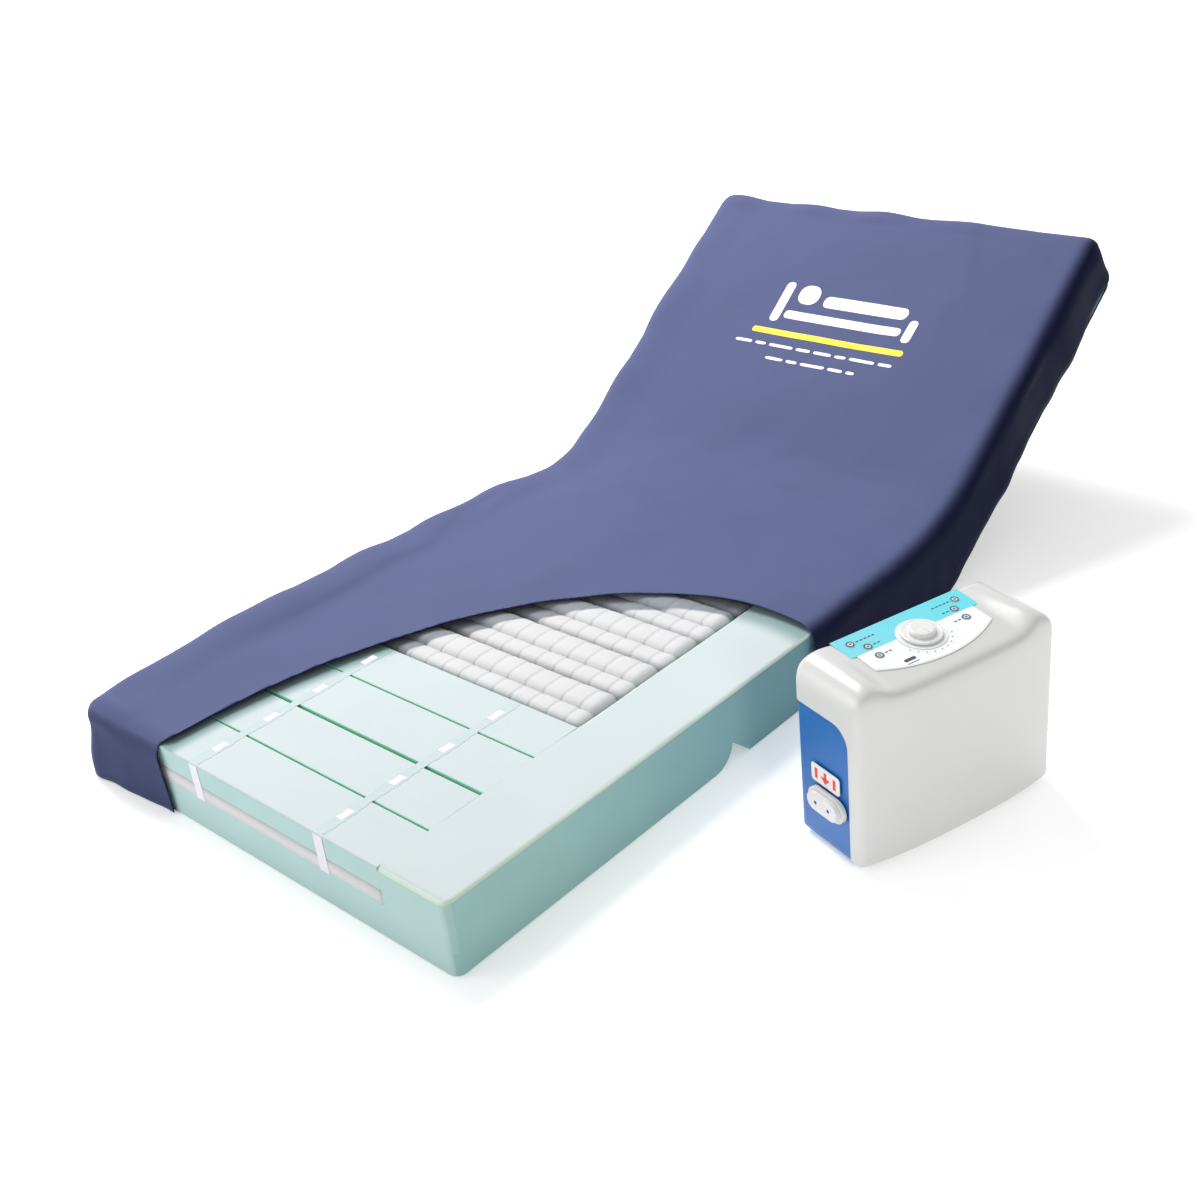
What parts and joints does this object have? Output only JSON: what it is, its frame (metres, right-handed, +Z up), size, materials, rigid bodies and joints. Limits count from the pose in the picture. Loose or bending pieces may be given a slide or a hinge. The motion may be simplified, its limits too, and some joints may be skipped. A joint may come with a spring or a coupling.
{
  "type": "pressure relief mattress",
  "caption": "Hybrid foam and air pressure relief mattress, cover cut open at the foot, back raised, with its standing air pump.",
  "frame": {"origin": "middle of the mattress's width and length, with the back laid flat, on its underside at the floor", "axes": "+Y to the head end, +X to the side where the pump stands, +Z up"},
  "size_m": [1.3148, 1.8649, 0.5339],
  "materials": {
    "foam": "matte",
    "grey_foam": "matte",
    "strap": "matte",
    "cell_fabric": "satin",
    "cell_base": "matte",
    "cover": "satin",
    "base_cover": "matte",
    "tube": "satin",
    "port": "matte",
    "zip": "matte",
    "zip_metal": "satin",
    "shell": "gloss",
    "housing": "satin",
    "feet": "matte",
    "screen": "satin",
    "panel": "satin",
    "dial": "satin",
    "keys": "matte",
    "motor": "satin",
    "board": "satin",
    "filter": "matte",
    "switch": "gloss",
    "hook": "satin",
    "steel": "satin"
  },
  "bodies": {
    "leg_seat": {"core_seat": "foam", "heel_foam": "foam", "heel_layer": "grey_foam", "heel_straps": "strap", "cell_base_seat": "cell_base", "cell_01": "cell_fabric", "cell_02": "cell_fabric", "cell_03": "cell_fabric", "cell_04": "cell_fabric", "cell_05": "cell_fabric", "cell_06": "cell_fabric", "cell_07": "cell_fabric", "air_lines_seat": "tube", "hose_port": "port", "base_cover_seat": "base_cover", "top_cover_seat": "cover", "zip_tape": "zip", "core_hip": "foam", "cell_08": "cell_fabric", "top_cover_hip": "cover"},
    "back": {"cell_09": "cell_fabric", "core_back": "foam", "cell_10": "cell_fabric", "cell_11": "cell_fabric", "cell_12": "cell_fabric", "cell_13": "cell_fabric", "cell_14": "cell_fabric", "cell_base_back": "cell_base", "air_lines_back": "tube", "base_cover_back": "base_cover", "top_cover_back": "cover"},
    "zip_slider": {"zip_slider": "zip_metal"},
    "pump": {"pump_shell": "shell", "pump_back": "housing", "pump_feet": "feet", "panel_screen": "screen", "panel_plate": "panel", "dial_bezel": "panel", "air_socket": "shell", "cpr_tag": "panel", "compressor": "motor", "air_valve": "port", "circuit_board": "board", "power_supply": "port", "air_filter": "filter", "mains_inlet": "port", "hook_brackets": "housing", "pump_screws": "steel"},
    "dial": {"dial_knob": "dial"},
    "cpr_release": {"cpr_plug": "dial"},
    "switch": {"power_switch": "switch"},
    "bed_hook_foot": {"hook_foot": "hook"},
    "bed_hook_head": {"hook_head": "hook"},
    "key_1": {"key_1": "keys"},
    "key_2": {"key_2": "keys"},
    "key_3": {"key_3": "keys"},
    "key_4": {"key_4": "keys"},
    "key_5": {"key_5": "keys"},
    "key_6": {"key_6": "keys"}
  },
  "joints": [
    {"name": "back_raise", "type": "hinge", "parent": "leg_seat", "child": "back", "pos_m": [0, 0.265, 0], "axis": [1, 0, 0], "range_deg": [-34.86, 25], "deforming": ["core_hip", "cell_08", "cell_09", "top_cover_hip"]},
    {"name": "zip_run", "type": "slide", "parent": "leg_seat", "child": "zip_slider", "axis": [0, 1, 0], "range_m": [0, 1.1]},
    {"name": "pump_lift", "type": "slide", "parent": "leg_seat", "child": "pump", "axis": [0, 0, 1], "range_m": [0, 0.6]},
    {"name": "dial_turn", "type": "hinge", "parent": "pump", "child": "dial", "pos_m": [0.7324, -0.30606, 0.29297], "axis": [0.1002, -0.0299, 0.9945], "range_deg": [-135, 135]},
    {"name": "key_1_press", "type": "slide", "parent": "pump", "child": "key_1", "axis": [-0.1002, 0.0299, -0.9945], "range_m": [0, 0.0006], "stiffness_N_per_m": 400},
    {"name": "key_2_press", "type": "slide", "parent": "pump", "child": "key_2", "axis": [-0.1002, 0.0299, -0.9945], "range_m": [0, 0.0006], "stiffness_N_per_m": 400},
    {"name": "key_3_press", "type": "slide", "parent": "pump", "child": "key_3", "axis": [-0.1002, 0.0299, -0.9945], "range_m": [0, 0.0006], "stiffness_N_per_m": 400},
    {"name": "key_4_press", "type": "slide", "parent": "pump", "child": "key_4", "axis": [-0.1002, 0.0299, -0.9945], "range_m": [0, 0.0006], "stiffness_N_per_m": 400},
    {"name": "key_5_press", "type": "slide", "parent": "pump", "child": "key_5", "axis": [-0.1002, 0.0299, -0.9945], "range_m": [0, 0.0006], "stiffness_N_per_m": 400},
    {"name": "key_6_press", "type": "slide", "parent": "pump", "child": "key_6", "axis": [-0.1002, 0.0299, -0.9945], "range_m": [0, 0.0006], "stiffness_N_per_m": 400},
    {"name": "cpr_pull", "type": "slide", "parent": "pump", "child": "cpr_release", "axis": [-0.2857, -0.9583, 0], "range_m": [0, 0.03]},
    {"name": "switch_rock", "type": "hinge", "parent": "pump", "child": "switch", "pos_m": [0.79402, -0.14129, 0.092], "axis": [0.9583, -0.2857, 0], "range_deg": [0, 16]},
    {"name": "hook_foot_swing", "type": "hinge", "parent": "pump", "child": "bed_hook_foot", "pos_m": [0.63925, -0.37168, 0.15], "axis": [-0.2857, -0.9583, 0], "range_deg": [0, 90]},
    {"name": "hook_head_swing", "type": "hinge", "parent": "pump", "child": "bed_hook_head", "pos_m": [0.69038, -0.20014, 0.15], "axis": [-0.2857, -0.9583, 0], "range_deg": [0, 90]}
  ]
}
